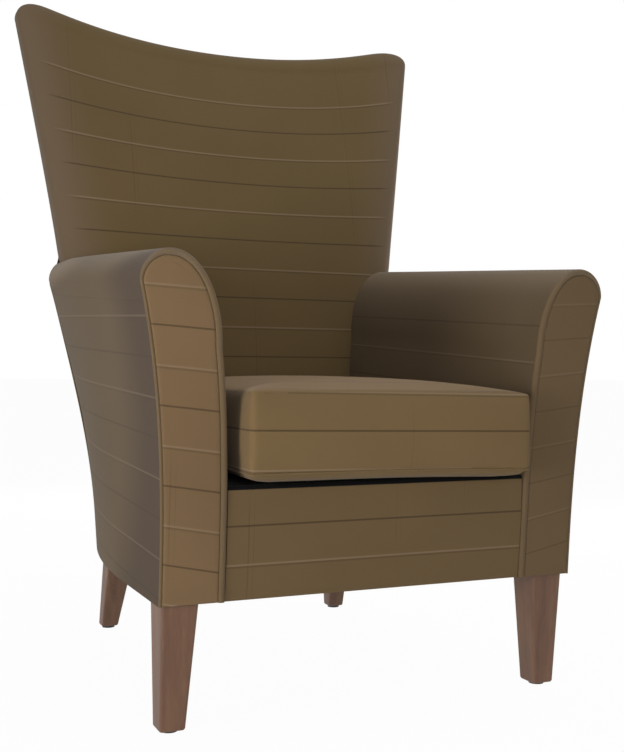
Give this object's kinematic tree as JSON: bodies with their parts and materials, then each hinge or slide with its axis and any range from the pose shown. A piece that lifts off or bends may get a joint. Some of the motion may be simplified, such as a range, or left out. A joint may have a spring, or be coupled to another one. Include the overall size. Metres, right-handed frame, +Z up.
{
  "type": "fireside chair",
  "caption": "Upholstered armchair with a tall winged back, flared sloping arms, a loose box cushion and tapered wooden legs.",
  "frame": {"origin": "on the floor, midway between the chair's front-most and rear-most points and between its left and right sides", "axes": "+X across the chair to the right as seen from the front, +Y from the front to the rear, +Z up"},
  "size_m": [0.7712, 0.8028, 1.108],
  "materials": {
    "check_cloth": "matt plain weave with a fine check",
    "black_cloth": "matt",
    "webbing": "matt",
    "foam": "matt open foam",
    "leg_wood": "satin stained hardwood",
    "frame_wood": "unfinished beech",
    "spring_steel": "satin",
    "zip_metal": "satin",
    "glide_plastic": "matt"
  },
  "bodies": {
    "chair": {"front_rail": "frame_wood", "rear_rail": "frame_wood", "left_seat_rail": "frame_wood", "right_seat_rail": "frame_wood", "corner_blocks": "frame_wood", "left_front_post": "frame_wood", "right_front_post": "frame_wood", "left_arm_rail": "frame_wood", "right_arm_rail": "frame_wood", "left_stuffing_rail": "frame_wood", "right_stuffing_rail": "frame_wood", "left_back_post": "frame_wood", "right_back_post": "frame_wood", "back_top_rail": "frame_wood", "back_lower_rail": "frame_wood", "back_webbing": "webbing", "seat_springs": "spring_steel", "spring_clips": "spring_steel", "seat_deck": "black_cloth", "dust_cover": "black_cloth", "inside_back": "check_cloth", "outside_back": "check_cloth", "left_inside_arm": "check_cloth", "right_inside_arm": "check_cloth", "left_outside_arm": "check_cloth", "right_outside_arm": "check_cloth", "left_arm_front": "check_cloth", "right_arm_front": "check_cloth", "front_border": "check_cloth", "front_left_leg": "leg_wood", "front_right_leg": "leg_wood", "rear_left_leg": "leg_wood", "rear_right_leg": "leg_wood", "leg_plates": "spring_steel", "leg_bolts": "spring_steel", "leg_glides": "glide_plastic"},
    "cushion": {"cushion_cover": "check_cloth", "cushion_foam": "foam", "cushion_zip": "webbing"},
    "zip_slider": {"zip_slider": "zip_metal"}
  },
  "joints": [
    {"name": "cushion_lift", "type": "slide", "parent": "chair", "child": "cushion", "axis": [0, 0, 1], "range_m": [0, 0.25]},
    {"name": "zip_slide", "type": "slide", "parent": "cushion", "child": "zip_slider", "axis": [1, 0, 0], "range_m": [0, 0.31]}
  ]
}
